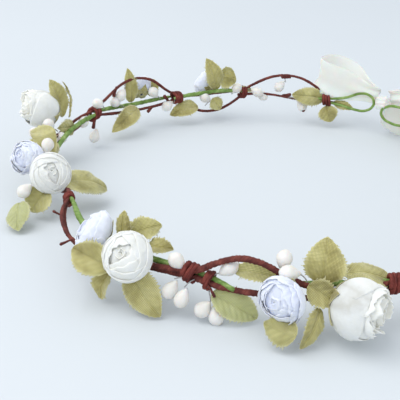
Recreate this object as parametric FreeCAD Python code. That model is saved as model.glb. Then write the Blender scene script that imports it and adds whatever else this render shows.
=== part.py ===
import FreeCAD, Part
import math
import os

# A flower crown: two strands of paper-covered vine run round the head in knots and open arches.
# Green stem wires carry sprays of cloth leaves, paper roses and pearly buds, and a ribbon ties
# the two wire eyelets at the back.
# +Z is up. The origin is the centre of the head opening on the surface that the crown rests on.
# The front is towards -Y and the ribbon tie is at +Y.
# A place is (angle in degrees from +X, distance from the middle, height above the ring plane).

Vector = FreeCAD.Vector

# Driving dimensions, in millimetres
RING_HEIGHT = 13.0
VINE_DIAMETER = 1.6
STEM_DIAMETER = 1.7
EYELET_DIAMETER = 1.2
BUD_WIRE_DIAMETER = 0.7
BINDING_WIRE_DIAMETER = 1.2
BINDING_RADIUS = 1.9
SNUG_BINDING_RADIUS = 1.1
LEAF_THICKNESS = 0.45
LEAF_FOLD = 0.35
LEAF_ARCH = 0.10
BUD_DIAMETER = 4.5
BUD_LENGTH = 6.4
RIBBON_THICKNESS = 0.5
RIBBON_WIDTH = 16.0
CORNER_SHARE = 0.45
STRAIGHT_ENOUGH = 0.004


def place(spot):
    """The point at an angle, a distance and a height above the ring plane."""
    angle, distance, height = spot
    turn = math.radians(angle)
    return Vector(distance * math.cos(turn), distance * math.sin(turn), height + RING_HEIGHT)


def mirrored(spot):
    """The same place on the other side of the crown."""
    angle, distance, height = spot
    return (540 - angle, distance, height)


def direction(angle, facing):
    """A direction built from outward, anticlockwise and upward shares at an angle of the ring."""
    outward, along, upward = facing
    turn = math.radians(angle)
    radial = Vector(math.cos(turn), math.sin(turn), 0) * outward
    tangent = Vector(-math.sin(turn), math.cos(turn), 0) * along
    return radial + tangent + Vector(0, 0, upward)


def unit(vector):
    """A copy of the vector with length one."""
    return vector * (1.0 / vector.Length)


def rounded_wire(points):
    """Straight runs joined by tangent arcs, each as large as its two runs allow."""
    edges = []
    start = points[0]
    for before, corner, after in zip(points, points[1:], points[2:]):
        back = before - corner
        ahead = after - corner
        turn = math.pi - back.getAngle(ahead)
        if turn < STRAIGHT_ENOUGH:
            continue
        trim = CORNER_SHARE * min(back.Length, ahead.Length)
        first = corner + unit(back) * trim
        last = corner + unit(ahead) * trim
        radius = trim / math.tan(turn / 2)
        inward = unit((first + last) * 0.5 - corner)
        middle = corner + inward * (radius / math.cos(turn / 2) - radius)
        edges.append(Part.LineSegment(start, first).toShape())
        edges.append(Part.Arc(first, middle, last).toShape())
        start = last
    edges.append(Part.LineSegment(start, points[-1]).toShape())
    return Part.Wire(edges)


def tube(spots, diameter):
    """A round wire along a route of places."""
    points = [place(spot) for spot in spots]
    path = rounded_wire(points)
    circle = Part.makeCircle(diameter / 2, points[0], points[1] - points[0])
    return path.makePipeShell([Part.Wire([circle])], True, False)


def revolved(outline, base, axis):
    """A solid of revolution: outline is (distance, height) pairs, stood on base along axis."""
    face = Part.Face(Part.makePolygon([Vector(x, 0, z) for x, z in outline + outline[:1]]))
    solid = face.revolve(Vector(0, 0, 0), Vector(0, 0, 1), 360)
    solid = solid if isinstance(solid, Part.Solid) else Part.Solid(solid.Shells[0])
    turn = FreeCAD.Rotation(Vector(0, 0, 1), axis)
    solid.Placement = FreeCAD.Placement(base, turn)
    return solid


# Sprays of leaves. A leaf is (base, tip, width, facing of its upper side).
LEAF_STATIONS = ((0.0, 0.09), (0.12, 0.48), (0.32, 0.92), (0.5, 1.0), (0.72, 0.78), (0.89, 0.36), (1.0, 0.05))


def leaf(base_spot, tip_spot, width, facing):
    """A cloth leaf: thin, folded along its midrib and arched from base to tip."""
    base = place(base_spot)
    tip = place(tip_spot)
    length = (tip - base).Length
    axis = unit(tip - base)
    upper = direction(base_spot[0], facing)
    upper = unit(upper - axis * upper.dot(axis))
    side = axis.cross(upper)
    sections = []
    for along, share in LEAF_STATIONS:
        half = share * width / 2
        spine = base + axis * (along * length)
        spine = spine + upper * (LEAF_ARCH * length * math.sin(math.pi * along))
        rim = upper * (LEAF_FOLD * half)
        skin = upper * LEAF_THICKNESS
        left = spine + side * half + rim
        right = spine - side * half + rim
        corners = [left + skin, spine + skin, right + skin, right, spine, left, left + skin]
        sections.append(Part.makePolygon(corners))
    return Part.makeLoft(sections, True, True)


BACK_LEAVES = (
    ((107, 90, 0.6), (117, 90, 0.2), 9.5, (-1, 0, 0.3)),
    ((106, 88.8, -2.5), (104.4, 88, -10), 10, (-1, 0, 0.5)),
    ((104.4, 90, -1), (98.5, 91.5, -3), 5, (-1, 0, 0.6)),
)

SIDE_BACK_LEAVES = (
    ((140, 90.5, 2), (143.8, 91, 17), 9.5, (-1, -0.2, 0.2)),
    ((136.8, 90.5, 2.5), (135.6, 89, 14.5), 8.5, (-1, 0.6, 0.2)),
    ((141.5, 88.5, -1.5), (139.5, 87, -7), 8, (-1, 0, 0.8)),
    ((146, 89.2, -5.4), (155, 89.6, -8.6), 8.5, (-0.8, 0, 0.8)),
    ((135, 90.8, 2), (128.5, 90.8, 1.5), 3.5, (-1, 0, 0.4)),
)

ARCH_LEAVES = (
    ((167.6, 91.8, 0.5), (169, 92, 16.5), 7.5, (-1, 0.3, 0)),
    ((166.5, 89, -1.8), (177.6, 87.2, -9), 9, (-0.8, -0.2, 0.8)),
    ((161, 91.8, 1.5), (159.5, 93, 9), 6, (-1, 0.2, 0)),
)

SIDE_LEAVES = (
    ((194.6, 92.5, 4.5), (196.4, 96.5, 20.5), 9, (-1, 0.2, 0)),
    ((192.6, 91.5, 3.5), (194, 93, 19), 5, (-0.7, -0.8, 0)),
    ((191.6, 90, -1), (200.6, 90.5, 3), 7.5, (-1, 0, 0.3)),
    ((197, 93, -2), (205, 100, -8), 9, (0.3, 0, 1)),
)

LEFT_FRONT_LEAVES = (
    ((220.5, 83.6, 2.8), (211, 92.6, 9.5), 9, (-0.2, 0.9, 0.7)),
    ((217, 88, 1.5), (206.5, 88, 2), 9, (-0.6, 0.3, 0.8)),
    ((230.5, 82.5, -1.8), (224, 64.8, -8.6), 14, (0, 0.4, 1)),
    ((230.5, 86.4, -3.6), (232, 92, -11), 12, (0.4, 0.8, 0.7)),
    ((232.4, 95.6, -6.4), (239, 98.6, -12), 10, (0.6, 0.3, 0.9)),
)

FRONT_LEAVES = (
    ((272.2, 98, 0), (264.8, 101.4, 2.4), 11, (0.9, -0.1, 0.6)),
    ((270.4, 95.8, -4), (270, 98.6, -12), 7.5, (1, -0.2, 0.6)),
    ((273.6, 94.4, -2), (281.4, 96.8, -12), 11.5, (1, 0.1, 0.6)),
    ((270, 89, 4), (269.4, 87.5, 12.5), 5.5, (0.7, 0.2, 0.4)),
    ((270.4, 88.2, 4.2), (276, 82.4, 8.6), 9, (0.8, 0.1, 0.9)),
    ((274.8, 87.6, 3), (280, 85.6, 3.2), 6.5, (0.6, 0.3, 1)),
)

RIGHT_FRONT_LEAVES = (
    ((289.3, 91.5, -4), (297.6, 89.5, -11), 10, (0.9, -0.2, 0.8)),
    ((300.5, 88.2, 1.8), (292.3, 87.5, 2.2), 7, (0.7, 0, 0.8)),
    ((309.2, 89, 1), (309, 86, 14), 13, (0.9, -0.2, 0.2)),
    ((312.5, 86.6, 2.4), (323, 87.6, -2.4), 11, (0.1, 0.2, 1)),
    ((306, 91.5, 2), (310.6, 94.6, -2.4), 9, (1, -0.1, 0.6)),
    ((302.8, 97.2, -4.6), (300.8, 103, -11.5), 9.5, (0.8, -0.3, 0.8)),
    ((307.8, 95, -3.4), (304.4, 102.6, -11.5), 7, (0.7, 0.6, 0.6)),
)


def leaf_spray(leaves):
    """The separate leaves of one spray."""
    return Part.makeCompound([leaf(*one) for one in leaves])


def mirrored_spray(leaves):
    """The same spray on the other side, where clockwise and anticlockwise change places."""
    other = []
    for base, tip, width, (outward, along, upward) in leaves:
        other.append((mirrored(base), mirrored(tip), width, (outward, -along, upward)))
    return leaf_spray(other)


# Roses. A rose is (base, middle of its mouth, diameter).
ROSE_OUTLINE = (
    (0.0, 0.0), (0.30, 0.0), (0.44, 0.16), (0.50, 0.42), (0.49, 0.66), (0.43, 0.90),
    (0.36, 0.78), (0.33, 0.97), (0.25, 0.86), (0.22, 1.02), (0.13, 0.92), (0.10, 1.02), (0.0, 0.96),
)
PETAL_OUTLINE = (
    (0.36, 0.02), (0.50, 0.20), (0.545, 0.48), (0.52, 0.84),
    (0.485, 0.84), (0.51, 0.48), (0.465, 0.24), (0.33, 0.06),
)
PETALS = 4
PETAL_ANGLE = 78


def rose(base_spot, mouth_spot, diameter):
    """A paper rose: a closed heart of nested rims inside a ring of outer petals."""
    base = place(base_spot)
    mouth = place(mouth_spot)
    height = (mouth - base).Length
    outline = [(x * diameter, z * height) for x, z in ROSE_OUTLINE]
    solid = revolved(outline, Vector(0, 0, 0), Vector(0, 0, 1))
    corners = [Vector(x * diameter, 0, z * height) for x, z in PETAL_OUTLINE]
    petal = Part.Face(Part.makePolygon(corners + corners[:1])).revolve(
        Vector(0, 0, 0), Vector(0, 0, 1), PETAL_ANGLE)
    for number in range(PETALS):
        copy = petal.copy()
        copy.rotate(Vector(0, 0, 0), Vector(0, 0, 1), number * 360 / PETALS)
        solid = solid.fuse(copy)
    turn = FreeCAD.Rotation(Vector(0, 0, 1), mouth - base)
    solid.Placement = FreeCAD.Placement(base, turn)
    return solid


ROSES = {
    "rose_white_left_back": ((141, 92.5, 2), (144, 98.6, 5), 11),
    "rose_white_left_arch": ((163.6, 92.5, 3), (162.4, 98.6, 7.6), 10.5),
    "rose_cream_left_side": ((195.6, 94, 6), (201, 104.5, 11.5), 13.5),
    "rose_cream_left_front": ((227.1, 85.7, 0.1), (232.5, 84.1, 3.9), 13.4),
    "rose_white_left_front": ((220, 90.4, 1.6), (225, 95.2, 6), 11),
    "rose_cream_front": ((274.1, 93.2, 1.8), (275.4, 101.2, 6.6), 13.4),
    "rose_white_front": ((266.4, 90.8, 2), (263.6, 96, 6.8), 13),
    "rose_cream_right_front": ((310.2, 93.5, -2), (317, 102.8, -2), 15.6),
    "rose_white_right_front": ((302.9, 92.8, -0.6), (300.3, 99.8, -0.6), 12.4),
}
MIRRORED_ROSES = {
    "rose_white_right_back": "rose_white_left_back",
    "rose_white_right_arch": "rose_white_left_arch",
    "rose_cream_right_side": "rose_cream_left_side",
}

# Pearly buds. A bud is (stem end, spot that it points to, start of its wire on the vine).
BUD_SHAPE = (
    (0.0, 0.0), (0.12, 0.0), (0.30, 0.22), (0.44, 0.42),
    (0.50, 0.62), (0.46, 0.80), (0.30, 0.94), (0.0, 1.0),
)


def bud(stem_spot, towards_spot, root_spot):
    """A drop-shaped bud and the thin wire that holds it."""
    stem = place(stem_spot)
    outline = [(x * BUD_DIAMETER, z * BUD_LENGTH) for x, z in BUD_SHAPE]
    drop = revolved(outline, stem, place(towards_spot) - stem)
    wire = Part.makeCylinder(
        BUD_WIRE_DIAMETER / 2, (stem - place(root_spot)).Length, place(root_spot), stem - place(root_spot))
    return [drop, wire]


def bud_group(buds):
    """The buds and wires of one group, each a solid of its own."""
    return Part.makeCompound([solid for one in buds for solid in bud(*one)])


BACK_BUDS = (
    ((129.8, 89.6, 2), (125.8, 89, -0.2), (132, 90.2, 2.4)),
    ((127.5, 91, 1), (124.5, 91.6, -2.8), (131, 90.8, 2)),
    ((119.5, 90.6, 6.2), (121.6, 91, 2.2), (119.6, 90.4, 8.6)),
    ((115, 90, -1.8), (112.6, 89.6, -6.8), (118, 90.4, -1.2)),
)
SIDE_BACK_BUDS = (
    ((135.5, 89, 0.2), (133.5, 88.4, 4), (133, 89.6, 2)),
    ((142, 88.6, -2.6), (145.6, 88.4, 0.6), (143.5, 89.4, -5.4)),
    ((154.2, 88.8, -2), (158.4, 88.2, -5), (153.2, 89.4, -1)),
)
ARCH_BUDS = (
    ((159.3, 89.6, 1.6), (161.4, 89.2, 5.2), (158.2, 89.8, 0.4)),
    ((171, 89.8, 8), (173.6, 89.2, 4.2), (170.2, 89.8, 11)),
    ((172.2, 90.4, 1.2), (175.6, 89.8, 4.6), (171, 90.4, -0.8)),
    ((179.6, 89.2, 4), (184.8, 88.8, 6.4), (179.2, 89.6, 2)),
)
SIDE_BUDS = (
    ((186, 89.4, 1), (190.6, 88.8, -2), (184.5, 89.8, 1.6)),
    ((183.6, 88.2, -5), (185.2, 87.8, -10), (183.2, 89, -1.6)),
    ((201, 91.6, 3), (204, 92.6, 6.6), (200, 90.8, 1)),
    ((204.6, 94, 1.5), (207, 97, 4.6), (202.6, 91.4, 0.6)),
    ((198.4, 89.4, -3), (201.2, 88.4, -0.4), (197.6, 89.2, -1.6)),
)
LEFT_FRONT_BUDS = (
    ((230.6, 91.6, -1), (231.4, 95.6, -4), (231, 87.6, -0.8)),
    ((221.5, 87, 5), (218.6, 85.6, 8.4), (222.5, 87.4, 1.4)),
)
FRONT_BUDS = (
    ((283.6, 90.4, 0.6), (280.4, 88.6, 3.4), (285, 90.6, 0.6)),
    ((282.6, 92.4, -1.8), (281, 94.4, -7.8), (285, 91.2, -0.8)),
    ((284.6, 92.6, -3.4), (283.8, 94.2, -8.4), (285.8, 91.4, -0.8)),
    ((289, 91.8, -6.4), (286.8, 92.8, -12), (288.6, 91.4, -2)),
    ((290, 91.6, -7.6), (290.8, 92.4, -13), (289, 91.4, -2.2)),
)
RIGHT_FRONT_BUDS = (
    ((301.4, 89, 4.2), (301.8, 88, 10), (301.4, 89.8, 2.6)),
    ((304.6, 91.6, 5), (300.4, 92, 5.6), (305.6, 90.6, 2.2)),
    ((290, 89.2, 1.2), (292.6, 88.2, 4.2), (289.4, 90, 1)),
    ((323.8, 91.6, -1.4), (325.4, 93, -5.4), (323.2, 91, -0.8)),
)


def mirrored_buds(buds):
    """The same group on the other side."""
    return bud_group([[mirrored(spot) for spot in one] for one in buds])


# The two strands of vine. The first arches over the gaps and the second runs low.
HIGH_VINE_LEFT = (
    (103, 90, 1.4), (106.5, 90, 1.2), (109.5, 90.2, 5), (114, 90, 8.8), (119, 90, 10),
    (124, 90, 8.6), (128.5, 90, 5), (132, 90, 1.8), (136, 90.4, 1), (141, 90.6, 0.2),
    (147, 90.4, -0.4), (153, 90, 0.9), (156.5, 89.8, 4), (161, 89.8, 10), (166.5, 90, 12.2),
    (172, 90, 10.8), (177.5, 89.8, 6.2), (183, 90, 2.2), (189, 90.8, 1.8), (197, 90.6, 0),
    (206, 89.4, 0.8), (214, 88.4, -1),
)
HIGH_VINE_FRONT = (
    (222, 86, -4.4), (227, 82.2, -5.6), (231.8, 79.6, -3), (236, 79.8, -0.8), (239.6, 81.2, 0.6),
    (242.5, 82.3, 0.5),
    (247.5, 87.6, 0.3), (251.6, 90.6, -0.3), (257.4, 93.6, -1.4), (263, 93, -2.2), (269, 91.8, -1.4),
    (278, 91, -0.2), (286, 90.2, 0.9),
    (289, 90, 4.4), (293.5, 90, 7.8), (298, 89.8, 6.8), (302, 90, 3), (308, 90.6, -0.6),
    (315, 90.2, -0.6), (322.6, 90, 0.9),
)
LOW_VINE_LEFT = (
    (103, 90, -1.2), (106.5, 90, -0.9), (111, 90.6, -1.8), (117, 90.8, -1.6), (124, 90.8, 0),
    (132, 90, -0.2), (134.5, 89.6, -3.6), (138.5, 89.4, -7.4), (143.5, 89.4, -8.4), (148.5, 89.6, -6),
    (153, 90, -0.9), (158, 90.2, -2.8), (167, 90.4, -3.4), (176, 90.2, -1.8), (183, 90, 0.4),
    (191, 89.2, -1.4), (200, 89, -1.6), (208, 88, -2.8), (214, 87.2, -3.8),
)
LOW_VINE_FRONT = (
    (221, 85.2, -6), (226.4, 81.6, -7.2), (231, 78.6, -5), (235.4, 78.6, -2.4), (239.4, 80.6, -1),
    (242.5, 82.4, -0.6),
    (246.4, 86, -0.9), (250.6, 89, -1.7), (256.4, 92.2, -3.2), (263, 91.4, -4.2), (270, 90.6, -2.8),
    (278, 89.6, -1.6), (286, 90.4, -0.9),
    (290, 91, -1.9), (295, 91.6, -2.2), (301, 91.4, -2), (308, 91.2, -3), (315, 90.6, -2.6),
    (322.6, 90.2, -0.9),
)


def vine(left, front):
    """One strand from tie to tie: the left side, the front, then the left side mirrored."""
    right = [mirrored(spot) for spot in reversed(left[:-1])]
    return tube(list(left) + list(front) + right, VINE_DIAMETER)


# Green stem wires that carry the sprays, and the two end wires bent into eyelets.
STEMS = {
    "stem_left_back": (
        (133.4, 88.4, 1.8), (138, 88.6, 2.2), (144, 88.4, 1.4), (149, 88.2, 1), (154.6, 88.4, 0)),
    "stem_left_arch": ((154, 91.6, 0), (160, 92, -0.6), (167, 92.2, -1), (174, 92, 0), (182.4, 91.4, 1.3)),
    "stem_left_side": (
        (181.6, 88.5, 1.3), (190, 88, 1), (198, 87.6, 0.2), (206, 86.6, -1), (213, 85.6, -0.8)),
    "stem_left_front": ((212, 90.2, 0), (216, 89.8, -0.4), (221, 88.4, -0.6), (226.4, 86.2, -0.2)),
    "stem_front": (
        (241.8, 81.4, 0.2), (245.5, 82.2, 0.6), (253.8, 86, 0.4), (262, 88.8, -0.2), (272, 89, 0.6),
        (281, 88.6, 0.4), (287, 88.8, -0.2), (290.4, 90.2, -0.8), (293.6, 92, -2)),
    "stem_right_front": (
        (297.5, 88.2, 0.4), (303, 88.4, 0), (310, 88.6, 0.6), (317, 88.4, 0.2), (324, 88.5, 0)),
}
MIRRORED_STEMS = {
    "stem_right_side": "stem_left_side",
    "stem_right_arch": "stem_left_arch",
    "stem_right_back": "stem_left_back",
}
LEFT_EYELET = (
    (112, 88.6, -0.4), (106.5, 88.7, 0.7), (102, 89, 1.8), (99.4, 89.6, 3.2), (97.2, 90, 5.2),
    (94.6, 90, 5.9), (92.6, 90, 4.4), (92, 90, 1.8), (92.9, 90, -1), (95.2, 90, -2.9),
    (98.4, 89.6, -2.6), (102, 89, -1.4), (107.5, 88.7, -0.7),
)
RIGHT_EYELET = (
    (68, 88.6, 0), (73.5, 88.7, 0.7), (78, 89, 2), (82.6, 89.6, 3.2), (86.8, 90, 2.8), (89.4, 90, 0.6),
    (89.7, 90, -2.4), (88, 90, -4.8), (84.4, 90, -5.8), (80.6, 89.6, -4.2), (77.4, 89, -1.8),
    (72.5, 88.7, -0.7),
)

# Bindings of paper-covered wire round the strands: (angle, distance, height, turns), and the
# inner radius of the snug one.
BINDINGS = {
    "bindings_rear": ((132, 90, 0.8, 2), (408, 90, 0.8, 2)),
    "binding_left_back": ((153, 89.6, 0, 3),),
    "binding_left_side": ((183, 89.6, 1.3, 3),),
    "binding_left_front": ((242.5, 82.3, 0, 2, SNUG_BINDING_RADIUS),),
    "binding_front": ((284.8, 89.8, 0.1, 3), (288.4, 89.9, -1.1, 2)),
    "binding_right_front": ((322.6, 89.6, 0, 4),),
    "binding_right_side": ((357, 89.6, 1.3, 3),),
    "binding_right_back": ((387, 89.6, 0, 3),),
    "bindings_at_tie": ((106.5, 89.5, 0, 3), (433.5, 89.5, 0, 3)),
}
BINDING_PITCH = 1.15


def binding(angle, distance, height, turns, inner_radius=BINDING_RADIUS):
    """Turns of wire side by side round the bundle of strands, each a ring."""
    axis = direction(angle, (0, 1, 0))
    middle = place((angle, distance, height))
    rings = []
    for number in range(turns):
        offset = (number - (turns - 1) / 2) * BINDING_PITCH
        ring = Part.makeTorus(
            inner_radius + BINDING_WIRE_DIAMETER / 2, BINDING_WIRE_DIAMETER / 2,
            middle + axis * offset, axis)
        rings.append(ring)
    whole = rings[0]
    for ring in rings[1:]:
        whole = whole.fuse(ring)
    return whole


# Short stubs of twisted paper on the vine: (root, tip).
TWIG_ROOT_DIAMETER = 1.3
TWIG_TIP_DIAMETER = 1.9
LEFT_TWIGS = (
    ((112, 90.2, -1.9), (113.4, 89.2, -7)),
    ((119.6, 90.8, -0.9), (117.4, 90.6, 1)),
    ((118.4, 90, 9.4), (120.4, 90, 7.8)),
    ((155, 90, -1.6), (157.6, 89.8, 1)),
    ((160.6, 90.2, -3.4), (163, 90, -5)),
    ((173.6, 89.9, 9), (175.4, 89.8, 6.4)),
    ((183.4, 89.2, -1), (184.2, 88.4, -4.8)),
)
FRONT_TWIGS = (
    ((248.6, 88.9, 0.2), (248.8, 91.6, 0.6)),
    ((258.4, 94.2, -1.6), (257.6, 96.8, -2.6)),
    ((288.8, 91.6, -1.4), (289.6, 93.6, -4.4)),
)


def twig(root_spot, tip_spot):
    """A stub of twisted paper that widens to its cut end."""
    root = place(root_spot)
    tip = place(tip_spot)
    return Part.makeCone(
        TWIG_ROOT_DIAMETER / 2, TWIG_TIP_DIAMETER / 2, (tip - root).Length, root, tip - root)


def twigs():
    """The stubs on the left, in front, and on the right, where those on the left are mirrored."""
    right = [(mirrored(root), mirrored(tip)) for root, tip in LEFT_TWIGS]
    return Part.makeCompound([twig(*one) for one in list(LEFT_TWIGS) + list(FRONT_TWIGS) + right])


# The ribbon tied through the eyelets.
RIBBON_KNOT = ((90.1, 91.4, 2.6), 5.6, 5.6, 8.5)
KNOT_ROUNDING = 1.6
LOOP_LENGTH = 32.0
LOOP_DEPTH = 7.0
LOOP_NECK = 1.6
LOOP_NECK_WALL = 2.4
LOOP_WIDEST = 0.55
LOOP_START = (0, 2.2, 2)
LOOP_RISE = (28, -2, 7)
TAIL_CLEARANCE = 0.2
TAIL_ROUTES = (
    ((0.5, 94), (9, 97.5), (24, 100), (40, 98), (54, 90)),
    ((-0.5, 94), (3, 103), (15, 110), (30, 112), (44, 107)),
)


def ribbon_knot():
    """The pulled-together middle of the bow."""
    spot, length, depth, height = RIBBON_KNOT
    middle = place(spot)
    corner = middle - Vector(length / 2, depth / 2, height / 2)
    block = Part.makeBox(length, depth, height, corner)
    return block.makeFillet(KNOT_ROUNDING, block.Edges)


def ribbon_loop(side):
    """One loop of the bow: a flattened ring of ribbon that widens away from the knot."""
    spot, length, depth, height = RIBBON_KNOT
    middle = place(spot)
    start = middle + Vector(side * length / 2, 0, 0) + Vector(*LOOP_START)
    rise, back, up = LOOP_RISE
    axis = unit(Vector(side * rise, back, up))
    across = unit(axis.cross(Vector(0, 1, 0))) * side
    out = unit(across.cross(axis)) * side
    neck = out * (LOOP_NECK / 2)
    edges = []
    front = start + axis * LOOP_LENGTH * LOOP_WIDEST - out * LOOP_DEPTH / 2
    rear = start + axis * LOOP_LENGTH * LOOP_WIDEST + out * LOOP_DEPTH / 2
    edges.append(Part.LineSegment(start - neck, front).toShape())
    edges.append(Part.Arc(front, start + axis * LOOP_LENGTH, rear).toShape())
    edges.append(Part.LineSegment(rear, start + neck).toShape())
    edges.append(Part.LineSegment(start + neck, start - neck).toShape())
    outer = Part.Face(Part.Wire(edges))
    inner_start = start + axis * LOOP_NECK_WALL
    inner_front = front + out * RIBBON_THICKNESS
    inner_rear = rear - out * RIBBON_THICKNESS
    inner_tip = start + axis * (LOOP_LENGTH - RIBBON_THICKNESS)
    inner_edges = [
        Part.LineSegment(inner_start, inner_front).toShape(),
        Part.Arc(inner_front, inner_tip, inner_rear).toShape(),
        Part.LineSegment(inner_rear, inner_start).toShape(),
    ]
    band = outer.cut(Part.Face(Part.Wire(inner_edges)))
    width = across * RIBBON_WIDTH
    band.translate(width * -0.5)
    return band.extrude(width)


def ribbon_tail(route):
    """A tail that falls from the knot and lies on edge along the table behind the crown."""
    points = [Vector(x, y, TAIL_CLEARANCE) for x, y in route]
    sides = []
    for number, point in enumerate(points):
        before = points[max(number - 1, 0)]
        after = points[min(number + 1, len(points) - 1)]
        across = unit((after - before).cross(Vector(0, 0, 1))) * (RIBBON_THICKNESS / 2)
        sides.append((point + across, point - across))
    outline = [one for one, other in sides] + [other for one, other in reversed(sides)]
    face = Part.Face(Part.makePolygon(outline + outline[:1]))
    return face.extrude(Vector(0, 0, RIBBON_WIDTH))


def parts():
    """Every node and its shape."""
    yield "vine_high", vine(HIGH_VINE_LEFT, HIGH_VINE_FRONT)
    yield "vine_low", vine(LOW_VINE_LEFT, LOW_VINE_FRONT)
    for name, spots in STEMS.items():
        yield name, tube(spots, STEM_DIAMETER)
    for name, other in MIRRORED_STEMS.items():
        yield name, tube([mirrored(spot) for spot in STEMS[other]], STEM_DIAMETER)
    yield "eyelet_left", tube(LEFT_EYELET, EYELET_DIAMETER)
    yield "eyelet_right", tube(RIGHT_EYELET, EYELET_DIAMETER)
    for name, rows in BINDINGS.items():
        yield name, Part.makeCompound([binding(*row) for row in rows])
    yield "vine_twigs", twigs()
    yield "leaves_left_rear", leaf_spray(BACK_LEAVES)
    yield "leaves_left_back", leaf_spray(SIDE_BACK_LEAVES)
    yield "leaves_left_arch", leaf_spray(ARCH_LEAVES)
    yield "leaves_left_side", leaf_spray(SIDE_LEAVES)
    yield "leaves_left_front", leaf_spray(LEFT_FRONT_LEAVES)
    yield "leaves_front", leaf_spray(FRONT_LEAVES)
    yield "leaves_right_front", leaf_spray(RIGHT_FRONT_LEAVES)
    yield "leaves_right_side", mirrored_spray(SIDE_LEAVES)
    yield "leaves_right_arch", mirrored_spray(ARCH_LEAVES)
    yield "leaves_right_back", mirrored_spray(SIDE_BACK_LEAVES)
    yield "leaves_right_rear", mirrored_spray(BACK_LEAVES)
    for name, row in ROSES.items():
        yield name, rose(*row)
    for name, other in MIRRORED_ROSES.items():
        base, mouth, diameter = ROSES[other]
        yield name, rose(mirrored(base), mirrored(mouth), diameter)
    yield "buds_left_rear", bud_group(BACK_BUDS)
    yield "buds_left_back", bud_group(SIDE_BACK_BUDS)
    yield "buds_left_arch", bud_group(ARCH_BUDS)
    yield "buds_left_side", bud_group(SIDE_BUDS)
    yield "buds_left_front", bud_group(LEFT_FRONT_BUDS)
    yield "buds_front", bud_group(FRONT_BUDS)
    yield "buds_right_front", bud_group(RIGHT_FRONT_BUDS)
    yield "buds_right_side", mirrored_buds(SIDE_BUDS)
    yield "buds_right_arch", mirrored_buds(ARCH_BUDS)
    yield "buds_right_rear", mirrored_buds(BACK_BUDS + SIDE_BACK_BUDS)
    yield "ribbon_knot", ribbon_knot()
    yield "ribbon_loop_left", ribbon_loop(-1)
    yield "ribbon_loop_right", ribbon_loop(1)
    yield "ribbon_tails", Part.makeCompound([ribbon_tail(route) for route in TAIL_ROUTES])


os.makedirs("parts", exist_ok=True)
for name, shape in parts():
    shape.exportStep("parts/" + name + ".step")
    print(name, shape.ShapeType, len(shape.Solids), shape.isValid(), round(shape.Volume, 1))
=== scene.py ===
import math
import random

import bpy
import numpy as np
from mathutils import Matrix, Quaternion, Vector, noise


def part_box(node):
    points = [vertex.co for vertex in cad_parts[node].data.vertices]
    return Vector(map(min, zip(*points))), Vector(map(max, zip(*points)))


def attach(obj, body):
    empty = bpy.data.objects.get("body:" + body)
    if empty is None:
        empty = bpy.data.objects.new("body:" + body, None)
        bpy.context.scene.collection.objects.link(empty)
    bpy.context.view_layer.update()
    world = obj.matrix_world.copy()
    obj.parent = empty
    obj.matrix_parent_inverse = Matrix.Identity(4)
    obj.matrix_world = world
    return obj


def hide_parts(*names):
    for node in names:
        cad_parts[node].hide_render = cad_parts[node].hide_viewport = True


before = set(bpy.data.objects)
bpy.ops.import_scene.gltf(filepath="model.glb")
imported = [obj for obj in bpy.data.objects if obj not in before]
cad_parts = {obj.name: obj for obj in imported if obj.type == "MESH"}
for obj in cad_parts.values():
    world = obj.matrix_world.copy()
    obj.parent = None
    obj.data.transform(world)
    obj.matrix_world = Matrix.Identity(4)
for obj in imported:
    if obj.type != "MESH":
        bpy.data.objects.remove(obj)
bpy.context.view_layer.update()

# The looks of a flower crown: paper-covered vine, cloth leaves, paper roses, pearly buds and a ribbon.
# Every piece takes its place and size from the CAD node that it stands for. Units are metres.

MM = 0.001
IN_MM = 1000
TURN = 2 * math.pi


# -------------------- reading the frame

def nodes_called(prefix):
    """The names of the CAD nodes that start with a prefix, in order."""
    return sorted(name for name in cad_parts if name.startswith(prefix))


def mesh_arrays(node):
    """The points and triangles of a CAD node, with points that coincide made one."""
    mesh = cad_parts[node].data
    points = np.empty(len(mesh.vertices) * 3, np.float32)
    mesh.vertices.foreach_get("co", points)
    points = points.reshape(-1, 3).astype(float)
    mesh.calc_loop_triangles()
    triangles = np.empty(len(mesh.loop_triangles) * 3, np.int32)
    mesh.loop_triangles.foreach_get("vertices", triangles)
    unique, index = np.unique(np.round(points * 1e7).astype(np.int64), axis=0, return_inverse=True)
    return unique * 1e-7, index.reshape(-1)[triangles].reshape(-1, 3)


def solids_of(node):
    """(points, triangles) of each separate solid of a CAD node."""
    points, triangles = mesh_arrays(node)
    labels = np.arange(len(points))
    while True:
        lowest = labels[triangles].min(axis=1)
        fresh = labels.copy()
        for corner in range(3):
            np.minimum.at(fresh, triangles[:, corner], lowest)
        fresh = fresh[fresh]
        if np.array_equal(fresh, labels):
            break
        labels = fresh
    found = []
    for label in np.unique(labels[triangles[:, 0]]):
        chosen = triangles[labels[triangles[:, 0]] == label]
        used, index = np.unique(chosen, return_inverse=True)
        found.append((points[used], index.reshape(-1, 3)))
    return found


def unit(vector):
    """A vector or rows of vectors at length one."""
    vector = np.asarray(vector, float)
    return vector / np.linalg.norm(vector, axis=-1, keepdims=True)


def long_ends(points):
    """The two points of a slender solid that lie farthest apart."""
    first = points[np.argmax(np.linalg.norm(points - points.mean(axis=0), axis=1))]
    last = points[np.argmax(np.linalg.norm(points - first, axis=1))]
    return first, last


def end_spread(points, end, axis, length, share):
    """How wide a solid is close to one of its ends."""
    close = points[np.abs((points - end) @ axis) < share * length]
    across = close - close.mean(axis=0)
    return np.sqrt((across ** 2).sum(axis=1).mean())


def slender_frame(points, share, wide_last):
    """(start, end) of a slender solid, where the end is its wider or its narrower end."""
    first, last = long_ends(points)
    length = np.linalg.norm(last - first)
    axis = (last - first) / length
    spreads = [end_spread(points, end, axis, length, share) for end in (first, last)]
    if (spreads[1] < spreads[0]) == wide_last:
        first, last = last, first
    return first, last


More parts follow.
